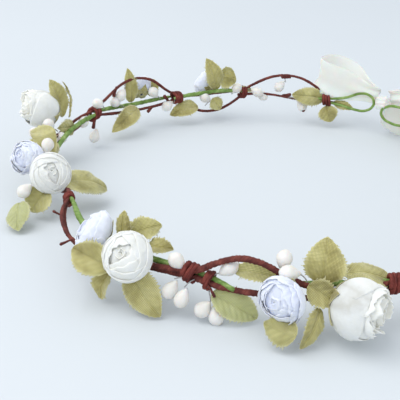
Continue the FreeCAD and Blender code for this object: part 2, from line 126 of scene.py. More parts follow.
def surface_balance(points, triangles):
    """(middle, spreads, axes) of a surface, with each triangle counted by its area."""
    corners = points[triangles]
    areas = np.linalg.norm(np.cross(corners[:, 1] - corners[:, 0], corners[:, 2] - corners[:, 0]), axis=1)
    centres = corners.mean(axis=1)
    middle = (centres * areas[:, None]).sum(axis=0) / areas.sum()
    offsets = (centres - middle) * np.sqrt(areas[:, None])
    spreads, axes = np.linalg.eigh(offsets.T @ offsets)
    return middle, spreads, axes


def leaf_frame(points, triangles):
    """(base, tip, upper side's direction, width) of a CAD leaf, which is folded towards its upper side."""
    middle, _, axes = surface_balance(points, triangles)
    evenness = []
    for axis in axes.T:
        along = (points - middle) @ axis
        evenness.append(abs(along.max() + along.min()) / np.ptp(along)
                        + abs(np.mean(along ** 3)) / np.std(along) ** 3)
    side = axes[:, int(np.argmin(evenness))]
    across = (points - middle) @ side
    spine = points[np.abs(across) < 0.12 * np.abs(across).max()]
    base, tip = long_ends(spine)
    axis = unit(tip - base)
    length = np.linalg.norm(tip - base)
    if end_spread(points, base, axis, length, 0.01) < end_spread(points, tip, axis, length, 0.01):
        base, tip, axis = tip, base, -axis
    bulge = middle - (base + tip) / 2
    upper = unit(bulge - axis * (bulge @ axis) - side * (bulge @ side))
    return base, tip, upper, np.ptp(across)


def rose_frame(node):
    """(base, mouth, diameter) of a CAD rose, from the axis that it is round about."""
    points, triangles = max(solids_of(node), key=lambda solid: len(solid[0]))
    middle, spreads, axes = surface_balance(points, triangles)
    gaps = (abs(spreads[1] - spreads[2]), abs(spreads[0] - spreads[1]))
    axis = axes[:, 0] if gaps[0] < gaps[1] else axes[:, 2]
    along = (points - middle) @ axis
    if along.max() > -along.min():
        axis, along = -axis, -along
    across = np.linalg.norm((points - middle) - along[:, None] * axis, axis=1)
    return middle + axis * along.min(), middle + axis * along.max(), 2 * across.max()


def ring_centreline(node, step):
    """The middle of a wire that runs round the ring, cut by upright planes a small angle apart."""
    points, triangles = mesh_arrays(node)
    edges = np.concatenate([triangles[:, [0, 1]], triangles[:, [1, 2]], triangles[:, [2, 0]]])
    back = math.pi / 2
    turned = (np.arctan2(points[:, 1], points[:, 0]) - back) % TURN
    line = []
    for angle in np.arange(turned.min() + step, turned.max() - step / 2, step):
        normal = np.array([-math.sin(angle + back), math.cos(angle + back), 0])
        outward = np.array([math.cos(angle + back), math.sin(angle + back), 0])
        height = points @ normal
        first, last = height[edges[:, 0]], height[edges[:, 1]]
        cut = (first * last < 0) & (points[edges[:, 0]] @ outward > 0)
        share = (first[cut] / (first[cut] - last[cut]))[:, None]
        crossing = points[edges[cut, 0]] * (1 - share) + points[edges[cut, 1]] * share
        if len(crossing):
            line.append((crossing.min(axis=0) + crossing.max(axis=0)) / 2)
    return np.array(line)


# -------------------- building pieces

def grid_faces(rows, columns, closed=False, start=0):
    """Quads over a grid of points, wrapped round if closed."""
    across = np.arange(columns if closed else columns - 1)
    row, column = np.meshgrid(np.arange(rows - 1), across, indexing="ij")
    after = (column + 1) % columns
    quads = np.stack([row * columns + column, row * columns + after,
                      (row + 1) * columns + after, (row + 1) * columns + column], axis=-1)
    return quads.reshape(-1, 4) + start


class Build:
    """Points, faces and a flat layout gathered into one mesh piece."""

    def __init__(self):
        self.points, self.faces, self.flat, self.count = [], [], [], 0

    def grid(self, points, closed=False, flat=None):
        """Adds a grid of points (rows, columns, 3), with a flat layout in metres if given."""
        rows, columns = points.shape[:2]
        self.faces.append(grid_faces(rows, columns, closed, self.count))
        self.points.append(points.reshape(-1, 3))
        self.flat.append(np.zeros((rows * columns, 2)) if flat is None else flat.reshape(-1, 2))
        self.count += rows * columns

    def piece(self, name, material, slot, nodes, thickness=0.0):
        """Makes the piece, rides it on the crown and lets it stand for its CAD nodes."""
        mesh = bpy.data.meshes.new(name)
        points = np.concatenate(self.points)
        faces = np.concatenate(self.faces)
        mesh.vertices.add(len(points))
        mesh.vertices.foreach_set("co", points.astype(np.float32).ravel())
        mesh.loops.add(faces.size)
        mesh.loops.foreach_set("vertex_index", faces.astype(np.int32).ravel())
        mesh.polygons.add(len(faces))
        mesh.polygons.foreach_set("loop_start", np.arange(0, faces.size, 4, dtype=np.int32))
        mesh.polygons.foreach_set("use_smooth", np.ones(len(faces), bool))
        layout = mesh.uv_layers.new(name="flat")
        flat = np.concatenate(self.flat)[faces.ravel()] / MM
        layout.data.foreach_set("uv", flat.astype(np.float32).ravel())
        mesh.update(calc_edges=True)
        mesh.validate()
        mesh.materials.append(material)
        obj = bpy.data.objects.new(name, mesh)
        bpy.context.scene.collection.objects.link(obj)
        if thickness:
            skin = obj.modifiers.new("thickness", "SOLIDIFY")
            skin.thickness = thickness
            skin.offset = 0
        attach(obj, "root")
        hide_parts(*nodes)
        return obj


def joined(*parts):
    """Numbers and arrays of shapes that fit together, spread out and stacked as coordinates."""
    return np.stack(np.broadcast_arrays(*parts), axis=-1)


def polar(wide, angle, high):
    """Points by their distance from an axis, angle round it and height along it."""
    return joined(wide * np.cos(angle), wide * np.sin(angle), high)


def eased(share):
    """A share from 0 to 1 that starts and ends gently."""
    return share * share * (3 - 2 * share)


def lumps(points, size, seed):
    """A smooth random value from -1 to 1 at each point, for lumps of about that size."""
    flat = np.asarray(points, float).reshape(-1, 3) / size
    shift = Vector((seed * 7.31, seed * 3.17, seed * 5.77))
    values = [noise.noise(Vector(point) + shift) for point in flat]
    return np.array(values).reshape(np.asarray(points).shape[:-1])


def resampled(line, spacing):
    """Points an even distance apart along a line, and how far along each one is."""
    runs = np.linalg.norm(np.diff(line, axis=0), axis=1)
    along = np.concatenate([[0], np.cumsum(runs)])
    count = max(int(along[-1] / spacing), 3)
    even = np.linspace(0, along[-1], count)
    return np.stack([np.interp(even, along, line[:, axis]) for axis in range(3)], axis=1), even


def smoothed(line, rounds):
    """The line with its corners eased and its ends kept."""
    line = line.copy()
    for _ in range(rounds):
        line[1:-1] = (line[:-2] + 2 * line[1:-1] + line[2:]) / 4
    return line


# A direction that no wire starts along.
CLEAR_OF_WIRES = (0.31, 0.17, 0.93)


def carried_frames(line):
    """Two directions across a line at each point, carried along without twist."""
    tangents = unit(np.gradient(line, axis=0))
    first = [unit(np.cross(tangents[0], CLEAR_OF_WIRES))]
    for tangent in tangents[1:]:
        last = first[-1] - tangent * (first[-1] @ tangent)
        first.append(unit(last))
    first = np.array(first)
    return first, np.cross(tangents, first)


# How open the drawn-in end of a wire's skin stays, as a share of its radius.
END_OPENING = 0.02


def tube_points(line, radius, columns):
    """The skin of a wire along a line, drawn in at its ends; radius gives each ring from its angles."""
    first, second = carried_frames(line)
    angle = np.linspace(0, TURN, columns, endpoint=False)
    size = radius(angle)
    ring = first[:, None] * np.cos(angle)[None, :, None] + second[:, None] * np.sin(angle)[None, :, None]
    points = line[:, None] + ring * size[..., None]
    ends = line[:, None] * (1 - END_OPENING) + points * END_OPENING
    return np.concatenate([ends[:1], points, ends[-1:]])


def twisted_paper(line, along, thick, seed, pitch=3.6 * MM, ridges=3, depth=0.12):
    """The radius of a cord of twisted paper: ridges that wind round it, one deep crease and soft lumps."""
    wander = lumps(joined(seed, along, 0), 6 * MM, seed)
    fine = lumps(joined(seed, along, 0), 1.6 * MM, seed + 3)

    def radius(angle):
        wind = angle[None, :] + TURN * along[:, None] / pitch + 1.6 * wander[:, None]
        wave = depth * np.sin(ridges * wind)
        wave += 0.45 * depth * np.sin((ridges + 2) * wind * -0.7 + 3 * fine[:, None] + 5 * angle[None, :])
        crease = np.abs((wind / TURN) % 1 - 0.5) * 2
        wave -= 1.5 * depth * np.exp(-((crease / 0.16) ** 2))
        return thick[:, None] * (1 + 0.16 * wander[:, None] + 0.07 * fine[:, None] + wave)
    return radius


# -------------------- materials

def shader(name, roughness, **sockets):
    """A material with a Principled shader, and its node tree."""
    material = bpy.data.materials.new(name)
    material.use_nodes = True
    tree = material.node_tree
    surface = tree.nodes["Principled BSDF"]
    surface.inputs["Roughness"].default_value = roughness
    for socket, value in sockets.items():
        surface.inputs[socket.replace("_", " ")].default_value = value
    return material, tree, surface


def add(tree, kind, inputs=None, **settings):
    """A node with its settings, and the values of its inputs by their names."""
    node = tree.nodes.new(kind)
    for key, value in settings.items():
        setattr(node, key, value)
    for socket, value in (inputs or {}).items():
        node.inputs[socket].default_value = value
    return node


def ramp(tree, value, stops):
    """A colour ramp over a value."""
    node = tree.nodes.new("ShaderNodeValToRGB")
    elements = node.color_ramp.elements
    while len(elements) < len(stops):
        elements.new(0.5)
    for element, (place, colour) in zip(elements, stops):
        element.position = place
        element.color = (*colour, 1)
    tree.links.new(value, node.inputs["Fac"])
    return node.outputs["Color"]


def place_in(tree, scale, source="Object", stretch=(1, 1, 1)):
    """Texture coordinates of the object, or of its flat layout, scaled."""
    coords = tree.nodes.new("ShaderNodeTexCoord")
    mapping = tree.nodes.new("ShaderNodeMapping")
    mapping.inputs["Scale"].default_value = tuple(scale * part for part in stretch)
    tree.links.new(coords.outputs[source], mapping.inputs["Vector"])
    return mapping.outputs["Vector"]


def noise_value(tree, vector, scale, detail=3.0, rough=0.5):
    """Cloudy noise at a vector."""
    node = add(tree, "ShaderNodeTexNoise", inputs={"Scale": scale, "Detail": detail, "Roughness": rough})
    tree.links.new(vector, node.inputs["Vector"])
    return node.outputs["Fac"]


def mixed(tree, kind, share, first, second):
    """A colour mix of two colours or values; share is a number or a socket."""
    node = add(tree, "ShaderNodeMix", data_type="RGBA", blend_type=kind)
    for socket, value in ((0, share), (6, first), (7, second)):
        if isinstance(value, bpy.types.NodeSocket):
            tree.links.new(value, node.inputs[socket])
        else:
            node.inputs[socket].default_value = value
    return node.outputs[2]


def sums(tree, kind, first, second):
    """A sum, product or other working of two values."""
    node = add(tree, "ShaderNodeMath", operation=kind)
    for socket, value in ((0, first), (1, second)):
        if isinstance(value, bpy.types.NodeSocket):
            tree.links.new(value, node.inputs[socket])
        else:
            node.inputs[socket].default_value = value
    return node.outputs[0]


def blended(tree, first, second, share):
    """Two values added, the second by its share and the first by the rest."""
    return sums(tree, "ADD", sums(tree, "MULTIPLY", first, 1 - share), sums(tree, "MULTIPLY", second, share))


def stored_value(tree, name):
    """A value that the mesh stores at each of its points."""
    return add(tree, "ShaderNodeAttribute", attribute_name=name).outputs["Fac"]


def painted(tree, surface, colour):
    """Gives a surface its colour."""
    tree.links.new(colour, surface.inputs["Base Color"])


def bumped(tree, surface, height, strength, distance):
    """Bump from a height."""
    node = add(tree, "ShaderNodeBump", inputs={"Strength": strength, "Distance": distance})
    tree.links.new(height, node.inputs["Height"])
    tree.links.new(node.outputs["Normal"], surface.inputs["Normal"])


def paper_cord(name, dark, middle, light, roughness=0.75):
    """Twisted paper: fibres that wind with the twist, in dark, middle and pale tones that change at random.
    """
    material, tree, surface = shader(name, roughness, Specular_IOR_Level=0.3)
    cloud = noise_value(tree, place_in(tree, IN_MM), 0.35, 4, 0.6)
    fibre = noise_value(tree, place_in(tree, 1, "UV", (0.25, 2.6, 1)), 1.0, 4, 0.65)
    both = blended(tree, cloud, fibre, 0.5)
    painted(tree, surface, ramp(tree, both, ((0.36, dark), (0.5, middle), (0.66, light))))
    bumped(tree, surface, fibre, 0.6, 0.12 * MM)
    return material


BLACK = (0, 0, 0)
LEAF_DYE = ((0.3, (0.28, 0.24, 0.095)), (0.5, (0.46, 0.41, 0.185)), (0.72, (0.64, 0.585, 0.31)))
# The pale yellow-green of the lowest leaves: painted light from the white table under them. It also serves
# the slight random paling of the other leaves.
PALE_AND_TABLE_LIT_DYE = (0.50, 0.54, 0.30, 1)
WORN_EDGE = (0.72, 0.69, 0.42, 1)


def woven(tree, vector, direction):
    """The threads of a weave that run one way, as fine bands."""
    node = add(tree, "ShaderNodeTexWave", wave_type="BANDS", bands_direction=direction,
               inputs={"Scale": 0.85, "Distortion": 0.6, "Detail": 2.0, "Detail Scale": 0.5})
    tree.links.new(vector, node.inputs["Vector"])
    return node.outputs["Fac"]


def leaf_cloth():
    """Stiffened olive cloth: a fine weave, soft dye clouds, slight random paling, painted light from the
    white table as a paler colour on the lowest leaves, and a pale frayed edge.
    """
    material, tree, surface = shader("leaf_cloth", 0.72, Specular_IOR_Level=0.25, Subsurface_Weight=0.25,
                                     Subsurface_Scale=1.0 * MM, Sheen_Weight=0.15, Sheen_Roughness=0.5)
    surface.inputs["Subsurface Radius"].default_value = (1.0, 0.9, 0.3)
    flat = place_in(tree, 1, "UV")
    weave = sums(tree, "MULTIPLY", woven(tree, flat, "X"), woven(tree, flat, "Y"))
    cloud = noise_value(tree, place_in(tree, IN_MM), 0.16, 4, 0.55)
    # Painted light: the dye turns towards the pale colour where the white table lights the lowest leaves,
    # and a little at random on the rest.
    dye_and_table_light = mixed(tree, "MIX", stored_value(tree, "paling_and_table_light"), ramp(tree, cloud, LEAF_DYE), PALE_AND_TABLE_LIT_DYE)
    shade = ramp(tree, weave, ((0.0, (0.56, 0.56, 0.48)), (0.6, (1.24, 1.24, 1.26))))
    threads = mixed(tree, "MULTIPLY", 1.0, dye_and_table_light, shade)
    rim = ramp(tree, stored_value(tree, "rim"), ((0.0, BLACK), (0.75, BLACK), (1.0, (0.55, 0.55, 0.55))))
    painted(tree, surface, mixed(tree, "MIX", rim, threads, WORN_EDGE))
    bumped(tree, surface, weave, 0.5, 0.08 * MM)
    return material


def petal_paper(name, deep, pale, edge_colour):
    """Soft paper petals: faint fibres and crumples in two tones, and pale along the rims."""
    material, tree, surface = shader(name, 0.62, Specular_IOR_Level=0.3, Subsurface_Weight=0.35,
                                     Subsurface_Scale=1.0 * MM, Sheen_Weight=0.2, Sheen_Roughness=0.6)
    surface.inputs["Subsurface Radius"].default_value = (1.0, 0.85, 0.6)
    vector = place_in(tree, IN_MM)
    cloud = noise_value(tree, vector, 0.22, 4, 0.55)
    fibre = noise_value(tree, place_in(tree, 1, "UV", (1.6, 0.3, 1)), 2.0, 4, 0.6)
    colour = ramp(tree, blended(tree, cloud, fibre, 0.3), ((0.35, deep), (0.65, pale)))
    rim = ramp(tree, stored_value(tree, "rim"), ((0.0, BLACK), (0.8, BLACK), (1.0, (0.8, 0.8, 0.8))))
    painted(tree, surface, mixed(tree, "MIX", rim, colour, (*edge_colour, 1)))
    crumple = noise_value(tree, vector, 1.3, 5, 0.6)
    bumped(tree, surface, blended(tree, crumple, fibre, 0.3), 0.35, 0.25 * MM)
    return material


def pearl():
    """The buds' waxed paste: creamy, a little translucent, with a soft pearl sheen."""
    material, tree, surface = shader("bud_pearl", 0.42, Subsurface_Weight=0.6, Subsurface_Scale=1.5 * MM,
                                     Coat_Weight=0.12, Coat_Roughness=0.4, Specular_IOR_Level=0.4)
    surface.inputs["Subsurface Radius"].default_value = (1.0, 0.75, 0.55)
    vector = place_in(tree, IN_MM)
    cloud = noise_value(tree, vector, 0.3, 3, 0.5)
    painted(tree, surface, ramp(tree, cloud, ((0.3, (0.68, 0.655, 0.61)), (0.6, (0.765, 0.75, 0.72)))))
    bumped(tree, surface, noise_value(tree, vector, 1.1, 3), 0.2, 0.15 * MM)
    return material


def wire_grey():
    """Dull grey thread over the buds' thin wires."""
    material, tree, surface = shader("bud_wire", 0.6, Specular_IOR_Level=0.3)
    cloud = noise_value(tree, place_in(tree, IN_MM), 2.0, 3)
    painted(tree, surface, ramp(tree, cloud, ((0.3, (0.22, 0.21, 0.21)), (0.7, (0.48, 0.46, 0.45)))))
    bumped(tree, surface, cloud, 0.3, 0.05 * MM)
    return material


def ribbon_satin():
    """Thin ivory satin: fine threads along it, sheen, and light that comes through."""
    material, tree, surface = shader("ribbon_satin", 0.38, Sheen_Weight=0.4, Sheen_Roughness=0.4,
                                     Subsurface_Weight=0.4, Subsurface_Scale=1.0 * MM, Alpha=0.48)
    thread = noise_value(tree, place_in(tree, 1, "UV", (9, 0.5, 1)), 1.0, 3)
    painted(tree, surface, ramp(tree, thread, ((0.3, (0.89, 0.87, 0.79)), (0.7, (0.94, 0.93, 0.89)))))
    bumped(tree, surface, thread, 0.25, 0.05 * MM)
    return material


VINE = paper_cord("vine_paper", (0.040, 0.0085, 0.009), (0.120, 0.026, 0.020), (0.260, 0.072, 0.050))
BINDING = paper_cord("binding_paper", (0.050, 0.0080, 0.008), (0.140, 0.024, 0.018), (0.280, 0.066, 0.048))
STEM = paper_cord("stem_paper", (0.060, 0.115, 0.020), (0.165, 0.270, 0.060), (0.360, 0.470, 0.170), 0.6)
LEAF = leaf_cloth()
CREAM = petal_paper("rose_cream", (0.80, 0.79, 0.71), (0.885, 0.88, 0.82), (0.95, 0.945, 0.90))
WHITE = petal_paper("rose_white", (0.74, 0.77, 0.90), (0.83, 0.86, 0.94), (0.90, 0.91, 0.96))
PEARL = pearl()
WIRE = wire_grey()
SATIN = ribbon_satin()


# -------------------- vine, stems and bindings

CORD_LAYOUT_RADIUS = 0.8 * MM


def cord_layout(far, columns, pitch):
    """The flat layout of a cord's skin, slanted so that the paper's fibres wind with its ridges."""
    rows = np.concatenate([far[:1], far, far[-1:]])[:, None]
    around = np.linspace(0, TURN * CORD_LAYOUT_RADIUS, columns)
    return joined(rows, around + rows * TURN * CORD_LAYOUT_RADIUS / pitch)


def cord_piece(name, node, material, slot, line, thick, seed, pitch=3.6 * MM, **twist):
    """One wrapped wire along a line."""
    columns = 18
    line, far = resampled(line, 0.4 * MM)
    size = np.interp(far / far[-1], np.linspace(0, 1, len(thick)), thick)
    size[:2] *= 0.8
    size[-2:] *= 0.8
    points = tube_points(line, twisted_paper(line, far, size, seed, pitch, **twist), columns)
    build = Build()
    build.grid(points, closed=True, flat=cord_layout(far, columns, pitch))
    build.piece(name, material, slot, [node])


# Where the strands are thickest and how far that fades, in degrees round the ring.
THICKEST_VINE = 292.0
THICK_STRETCH = 24.0


def vines():
    """The two strands, thick in front and thinner in the arches at the back."""
    for seed, node in enumerate(("vine_high", "vine_low")):
        line = smoothed(ring_centreline(node, math.radians(0.5)), 3)
        turn = np.degrees(np.arctan2(line[:, 1], line[:, 0])) % 360
        front = np.exp(-((turn - THICKEST_VINE) / THICK_STRETCH) ** 2)
        thick = (0.62 + 0.36 * front + 0.08 * lumps(line, 18 * MM, seed + 5)) * MM
        cord_piece(node + "_paper", node, VINE, "vine_paper", line, thick, seed + 1, depth=0.09)


def stems():
    """The green wires in their wrinkled tape."""
    thick = np.array([0.70, 0.95, 0.88, 0.98, 0.90, 0.72]) * MM
    for seed, node in enumerate(nodes_called("stem_")):
        line = smoothed(ring_centreline(node, math.radians(0.4)), 2)
        cord_piece(node + "_paper", node, STEM, "stem_paper", line, thick, seed + 11,
                   pitch=5.5 * MM, ridges=2, depth=0.06)


def eyelets():
    """The thin green wire loops keep their CAD shape."""
    for node in ("eyelet_left", "eyelet_right"):
        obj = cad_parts[node]
        obj.data.materials.clear()
        obj.data.materials.append(STEM)


BINDING_WIRE = 0.71 * MM
BINDING_PITCH = 1.15 * MM


def binding_line(points, seed, number):
    """The uneven coil that a binding is wound in, where its CAD rings are."""
    middle = (points.min(axis=0) + points.max(axis=0)) / 2
    axis = unit(np.array([-middle[1], middle[0], 0]))
    outward = np.array([axis[1], -axis[0], 0])
    length = np.ptp(points @ axis)
    reach = np.ptp(points[:, 2]) / 2
    turns = round((length - 2 * BINDING_WIRE) / BINDING_PITCH) + 0.9
    t = np.linspace(0, TURN * turns, int(turns * 40))
    drift = joined(seed, t * 0.35, number)
    sway = lumps(drift, 1.0, seed + 21)
    coil = (reach - BINDING_WIRE) * (1 + 0.17 * lumps(drift, 0.6, seed + 31))
    share = t / t[-1]
    spread = eased(share) if turns > 4 else share
    along = (spread - 0.5) * (1.2 * length - BINDING_WIRE) + 0.75 * MM * np.sin(t + seed) + 0.6 * MM * sway
    line = middle + along[:, None] * axis
    return line + (coil * np.cos(t))[:, None] * outward + (coil * 0.94 * np.sin(t))[:, None] * [0, 0, 1]


def bindings():
    """Loose, uneven turns of paper cord round the bundle of wires."""
    columns = 14
    for seed, node in enumerate(nodes_called("binding")):
        build = Build()
        for number, (points, _) in enumerate(solids_of(node)):
            line, far = resampled(binding_line(points, seed, number), 0.3 * MM)
            size = BINDING_WIRE * (1 + 0.18 * lumps(line, 2.5 * MM, seed + 41))
            size[:3] *= np.array([0.5, 0.8, 0.95])
            size[-3:] *= np.array([0.95, 0.8, 0.5])
            skin = tube_points(line, twisted_paper(line, far, size, seed + 51, pitch=2.6 * MM), columns)
            rows = np.concatenate([far[:1], far, far[-1:]])[:, None]
            build.grid(skin, closed=True, flat=joined(rows, np.linspace(0, 4 * MM, columns)))
        build.piece(node + "_cord", BINDING, "binding_paper", [node])


# The stubs in front of this are thinner.
THIN_TWIGS_BEFORE = -50 * MM


def twigs():
    """Torn stubs of twisted paper, thinner in front."""
    build = Build()
    for seed, (points, _) in enumerate(solids_of("vine_twigs")):
        root, tip = slender_frame(points, 0.01, wide_last=True)
        t = np.linspace(-0.15, 1, 16)
        bend = np.cross(unit(tip - root), [0, 0, 1]) * 0.35 * MM
        line = root + t[:, None] * (tip - root) + np.sin(t * 3 + seed)[:, None] * bend
        size = (0.52 + 0.34 * np.clip(t, 0, 1) ** 2) * MM
        if root[1] < THIN_TWIGS_BEFORE:
            size = size * 0.62
        size[-2:] *= np.array([0.9, 0.55])
        far = t * np.linalg.norm(tip - root)
        radius = twisted_paper(line, far, size, seed + 61, pitch=2.4 * MM, depth=0.14)
        build.grid(tube_points(line, radius, 14), closed=True)
    build.piece("vine_twig_stubs", VINE, "vine_paper", ["vine_twigs"])


# -------------------- leaves

def point_values(obj, name, values):
    """Stores a value from 0 to 1 at each point, for the material."""
    attribute = obj.data.attributes.new(name, "FLOAT", "POINT")
    attribute.data.foreach_set("value", values.astype(np.float32).ravel())


def joined_flat(parts):
    """The values of several grids in one row."""
    return np.concatenate([part.ravel() for part in parts])


TOOTH_SPACING = 1.05 * MM
VEIN_SPACING = 2.1 * MM


def leaf_outline(u, v, length, width, chance, seed):
    """How far each point of a leaf is from its midrib: an oval with saw teeth and a ragged cut."""
    outline = np.sin(math.pi * u ** 0.86) ** 0.66 * (1 - 0.10 * u)
    stalk = 0.08 * (1 - u) + 0.01
    teeth = round(length / TOOTH_SPACING) + chance.choice((0, 1))
    saw = (u * teeth + 0.25 * np.sin(u * 17 + seed) + np.where(v > 0, 0.4, 0)) % 1
    depth = chance.uniform(0.13, 0.19) * 9 * MM / width
    bite = 1 - depth * (1 - saw) ** 1.3 * np.abs(v) ** 7 * (u > 0.06)
    ragged = lumps(joined(u * 75, np.sign(v), 0), 1.0, seed)
    half = width / 2 * np.maximum(outline, stalk) * bite * (1 + 0.05 * ragged * np.abs(v) ** 8)
    return v * half


def leaf_relief(u, v, x, length, width, chance, seed):
    """How high each point of a leaf is: its fold, curl and twist, pressed veins and soft waves."""
    fold = chance.uniform(0.20, 0.42)
    curl = chance.uniform(-0.30, 0.50)
    twist = chance.uniform(-0.45, 0.45)
    droop = chance.uniform(0.06, 0.14)
    z = fold * np.abs(x) * (1 - 0.35 * np.abs(v)) - curl * x ** 2 / (width / 2)
    z = z - 0.30 * MM * np.exp(-(x / (0.35 * MM)) ** 2)
    vein = np.cos((u * length - np.abs(x) * 0.95) / VEIN_SPACING * TURN)
    z = z + 0.10 * MM * vein * np.clip(np.abs(v) * 4, 0, 1) * (1 - np.abs(v) ** 3)
    z = z + droop * length * np.sin(math.pi * u)
    z = z + (u ** 2) * x * twist
    wave = lumps(joined(u * length, x, 0), 4.0 * MM, seed + 2)
    return z + 0.95 * MM * wave * (0.25 + np.abs(v)) * np.sin(math.pi * u) ** 0.5


def leaf_points(base, tip, upper, width, seed):
    """A die-cut cloth leaf: its points, flat layout and nearness to the rim."""
    chance = random.Random(seed)
    length = np.linalg.norm(tip - base)
    axis = unit(tip - base)
    side = np.cross(axis, upper)
    u = np.linspace(0, 1, 88)[:, None]
    v = np.linspace(-1, 1, 29)[None, :]
    x = leaf_outline(u, v, length, width, chance, seed)
    z = leaf_relief(u, v, x, length, width, chance, seed)
    points = base + (u * length + 0 * v)[..., None] * axis + x[..., None] * side + z[..., None] * upper
    rim = np.maximum(np.abs(v), np.clip((u - 0.9) * 10, 0, 1))
    return points, joined(u * length, x), rim


FRAYED_THREADS = 14
THREAD_RADIUS = 0.034 * MM


def frayed_threads(build, rims, points, seed):
    """Loose thread ends that stand out from the cut edge."""
    chance = random.Random(seed + 900)
    rows, columns = points.shape[:2]
    t = np.linspace(-0.3, 1, 5)
    for _ in range(FRAYED_THREADS):
        row = chance.randrange(10, rows - 3)
        column = chance.choice((0, columns - 1))
        inner = points[row, 1 if column == 0 else columns - 2]
        start = points[row, column]
        edge = points[row + 1, column] - points[row - 1, column]
        out = unit(start - inner + edge * chance.uniform(-0.4, 0.9))
        bend = unit(np.array([chance.uniform(-1, 1), chance.uniform(-1, 1), chance.uniform(-1, 1)]))
        reach = chance.uniform(0.25, 0.6) * MM
        line = start + t[:, None] * out * reach + (t ** 2)[:, None] * bend * reach * 0.5
        skin = tube_points(line, lambda angle: np.full((len(t), len(angle)), THREAD_RADIUS), 4)
        build.grid(skin, closed=True)
        rims.append(np.ones(skin.shape[:2]))


# The lowest leaf of a spray, by its number in the node: it is painted paler, as painted light thrown up on
# it by the white table.
TABLE_LIT_LEAVES = {"leaves_left_front": 3, "leaves_right_front": 0}
# How far that lowest leaf is painted towards the pale colour, as painted light from the white table.
TABLE_LIGHT_SHARE = 0.75
LEAST_FADED = (0, 0.22)
LEAF_THICKNESS = 0.16 * MM


def leaves():
    """Each spray of leaves, with a little thickness; two are painted paler than the others, as painted light
    from the white table under them.
    """
    for number, node in enumerate(nodes_called("leaves")):
        build, rims, paling_and_table_light = Build(), [], []
        for count, solid in enumerate(solids_of(node)):
            seed = number * 10 + count + 1
            points, flat, rim = leaf_points(*leaf_frame(*solid), seed)
            build.grid(points, flat=flat)
            rims.append(rim)
            frayed_threads(build, rims, points, seed)
            slight = random.Random(seed + 70).uniform(*LEAST_FADED)
            # The lowest leaf gets painted light from the white table; the others pale a little at random.
            pale_share = TABLE_LIGHT_SHARE if TABLE_LIT_LEAVES.get(node) == count else slight
            paling_and_table_light += [pale_share] * (build.count - len(paling_and_table_light))
        obj = build.piece(node + "_cloth", LEAF, "leaf_cloth", [node], thickness=LEAF_THICKNESS)
        point_values(obj, "rim", joined_flat(rims))
        point_values(obj, "paling_and_table_light", np.array(paling_and_table_light))


# -------------------- roses

def bowl(radius, height, sweep):
    """Distance from the axis and height of an egg-shaped bowl, by its sweep from the base in radians."""
    sweep = np.clip(sweep, 0.01, math.pi - 0.01)
    return radius * np.sin(sweep) ** 0.9, height * 0.5 * (1 - np.cos(sweep))


def petal_points(radius, height, start, span, close, frill, lip, seed, kind):
    """A petal wrapped round the axis from start over span, closing over the top by close radians."""
    u = np.linspace(0, 1, 48)[None, :]
    v = np.linspace(0, 1, 28)[:, None]
    angle = start + span * (u - 0.5)
    edge = 1 - 0.24 * np.abs(2 * u - 1) ** 3
    round_rim = polar(1, angle, 0)
    wander = lumps(round_rim, 0.55, seed)
    fine = lumps(round_rim, 0.17, seed + 1)
    top = close * edge * (1 + frill * (0.07 * wander + 0.012 * fine))
    sweep = 0.12 + (top - 0.12) * v
    wide, high = bowl(radius, height, sweep)
    wide = wide * (1 + 0.035 * (u - 0.5) + 0.012 * np.sin(3 * angle + seed))
    spot = polar(wide, angle, high) / radius
    crumple = lumps(spot, 0.55, kind) + 0.45 * lumps(spot, 0.24, kind + 3)
    pleats = lumps(joined(angle * 5, 0.7 * v, 0), 0.8, kind + 5)
    swell = frill * (0.055 * crumple + 0.012 * pleats) * v ** 1.2
    wide = wide * (1 + swell)
    high = high + 0.6 * swell * height
    curl = np.clip((v - 0.82) / 0.18, 0, 1) ** 2
    wide = wide + curl * radius * lip * (1 + 0.8 * wander)
    high = high + curl * height * lip * 0.5 * (1 + frill * fine)
    points = polar(wide, angle, high)
    side = np.clip((np.abs(2 * u - 1) - 0.94) / 0.06, 0, 1)
    rim = np.maximum(np.clip((v - 0.93) / 0.07, 0, 1), side)
    return points, joined(angle * radius, v * height * 1.6), rim


def core_points(radius, height, seed, frill):
    """The wadded paper inside the petals: a closed dome with soft folds that wind to its top."""
    angle = np.linspace(0, TURN, 60, endpoint=False)[None, :]
    v = np.linspace(0, 1, 40)[:, None]
    wide, high = bowl(radius, height, 0.5 + (math.pi - 0.52) * v)
    spot = polar(wide, angle, high) / radius
    folds = lumps(spot, 0.45, seed) + 0.5 * lumps(spot, 0.2, seed + 1)
    wind = np.sin(3 * angle + 9 * v + seed) * v * (1 - v) * 0.12
    wide = wide * (1 + frill * 0.05 * folds + wind)
    high = high * (1 + frill * 0.03 * folds)
    points = polar(wide, angle, high)
    return points, joined(angle * radius, v * height * 1.6), np.zeros(points.shape[:2])


def heart_points(radius, top, bottom, turns, seed, frill):
    """The rolled strip in the middle: a folded spiral that sinks towards its centre."""
    u = np.linspace(0, 1, 130)[None, :]
    v = np.linspace(0, 1, 16)[:, None]
    angle = turns * TURN * u
    folds = lumps(polar(1.2, angle, u * 2), 0.9, seed)
    ring = radius * (1 - 0.88 * u) * (1 + 0.25 * frill * folds)
    squeeze = 1 + 0.22 * np.cos(2 * angle + seed) * (0.3 + u)
    lean = 1.10 - 0.22 * v
    high = bottom + (top * (1 - 0.05 * u + 0.03 * frill * folds) - bottom) * v
    points = joined(ring * lean * squeeze * np.cos(angle), ring * lean / squeeze * np.sin(angle), high)
    rim = np.clip((v - 0.88) / 0.12, 0, 1) + 0 * u
    return points, joined(angle * radius, high), rim


# A direction that no rose or bud stands along.
CLEAR_OF_AXES = (0.2, 0.1, 0.97)


def turned_to(points, base, axis, spin):
    """Points built about +Z, stood on base along an axis."""
    first = unit(np.cross(axis, CLEAR_OF_AXES))
    second = np.cross(axis, first)
    one = first * math.cos(spin) + second * math.sin(spin)
    other = np.cross(axis, one)
    return base + points[..., :1] * one + points[..., 1:2] * other + points[..., 2:] * axis


